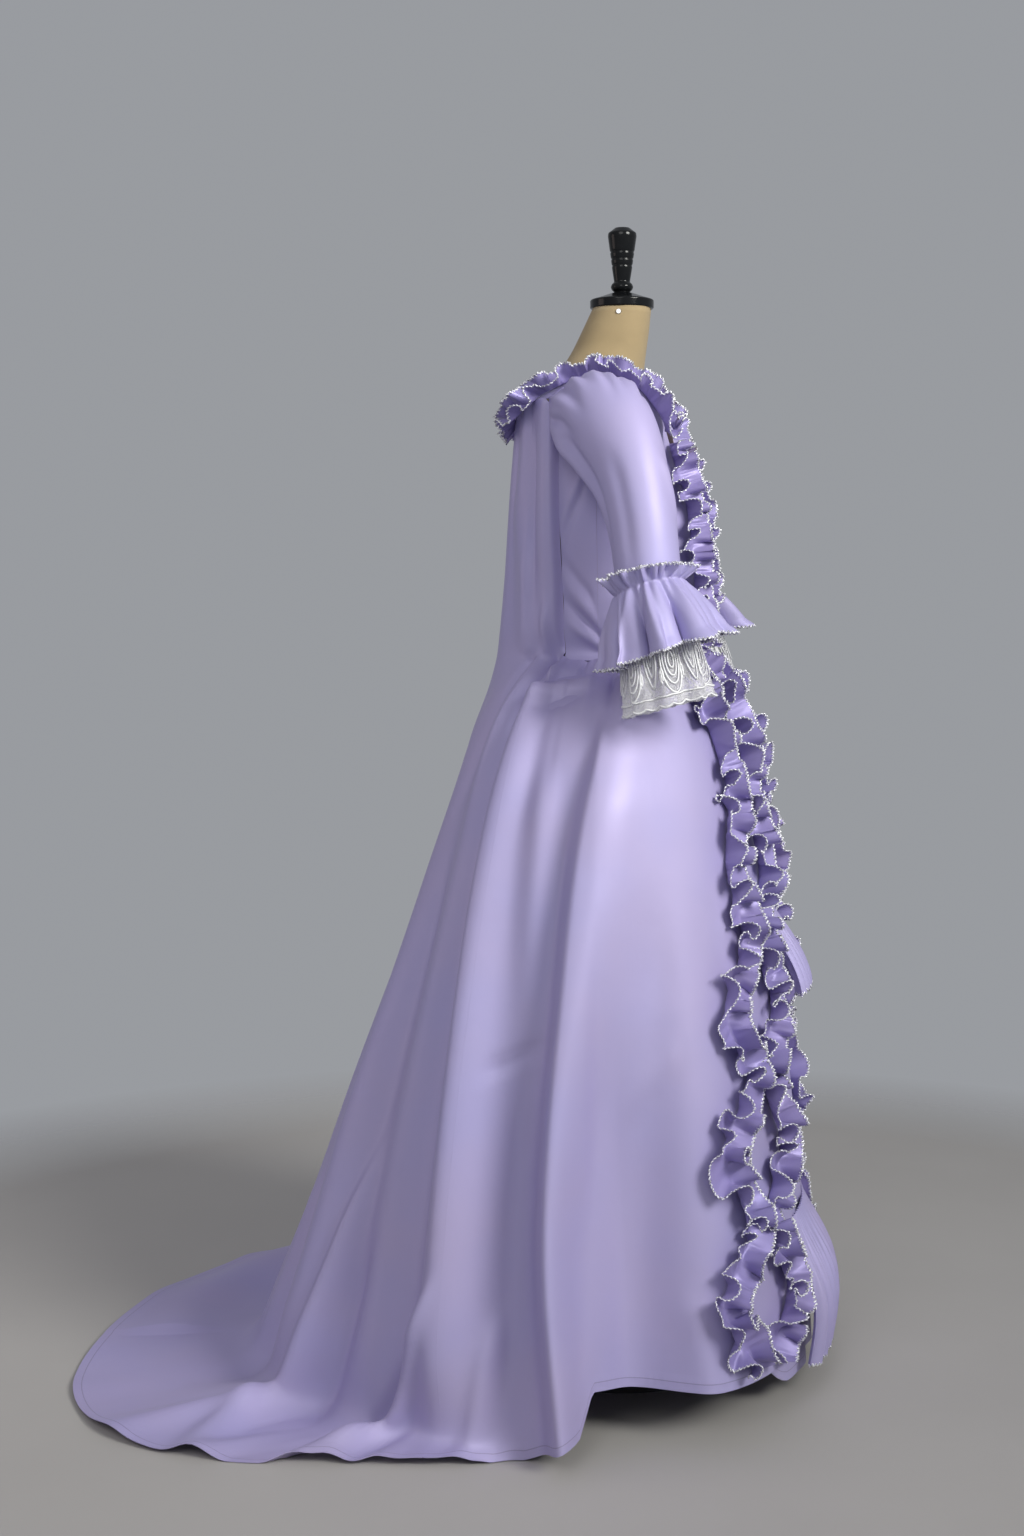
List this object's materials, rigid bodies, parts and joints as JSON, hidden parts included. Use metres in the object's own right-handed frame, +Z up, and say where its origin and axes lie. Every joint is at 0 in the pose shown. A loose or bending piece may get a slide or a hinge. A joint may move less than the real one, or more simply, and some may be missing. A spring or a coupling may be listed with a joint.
{
  "type": "ball gown on dress form",
  "caption": "Sack-back ball gown of lilac satin with a ruffled open overskirt, lace cuffs and a floor train, worn by a limbless dress form on a pole and round foot.",
  "frame": {"origin": "centre of the foot's underside, on the floor", "axes": "+Z up, the gown faces -Y, the wearer's left is +X"},
  "size_m": [0.9384, 1.0858, 1.627],
  "materials": {
    "lilac_satin": "lustrous duchess satin, soft sheen",
    "lilac_satin_trim": "the same satin gathered, edged with silver braid",
    "white_lace": "matt embroidered net",
    "linen_cover": "matt fine linen",
    "black_lacquer": "turned wood, gloss black",
    "steel": "brushed",
    "black_enamel": "satin black"
  },
  "bodies": {
    "root": {"stomacher": "lilac_satin", "sack_back": "lilac_satin", "petticoat": "lilac_satin", "bodice_front_left": "lilac_satin", "bodice_front_right": "lilac_satin", "bodice_side_left": "lilac_satin", "bodice_side_right": "lilac_satin", "shoulder_strap_left": "lilac_satin", "shoulder_strap_right": "lilac_satin", "overskirt_left": "lilac_satin", "overskirt_right": "lilac_satin", "sleeve_left": "lilac_satin", "sleeve_right": "lilac_satin", "neck_ruffle": "lilac_satin_trim", "petticoat_flounce": "lilac_satin_trim", "petticoat_hem_flounce": "lilac_satin_trim", "robing_left": "lilac_satin_trim", "robing_right": "lilac_satin_trim", "skirt_trim_inner_left": "lilac_satin_trim", "skirt_trim_inner_right": "lilac_satin_trim", "skirt_trim_outer_left": "lilac_satin_trim", "skirt_trim_outer_right": "lilac_satin_trim", "cuff_flounce_left": "lilac_satin_trim", "cuff_flounce_right": "lilac_satin_trim", "cuff_lace_left": "white_lace", "cuff_lace_right": "white_lace", "form_body": "linen_cover", "form_neck_cap": "black_lacquer", "form_finial": "black_lacquer", "form_pole": "steel", "form_pin": "steel", "form_foot": "black_enamel"}
  },
  "joints": []
}
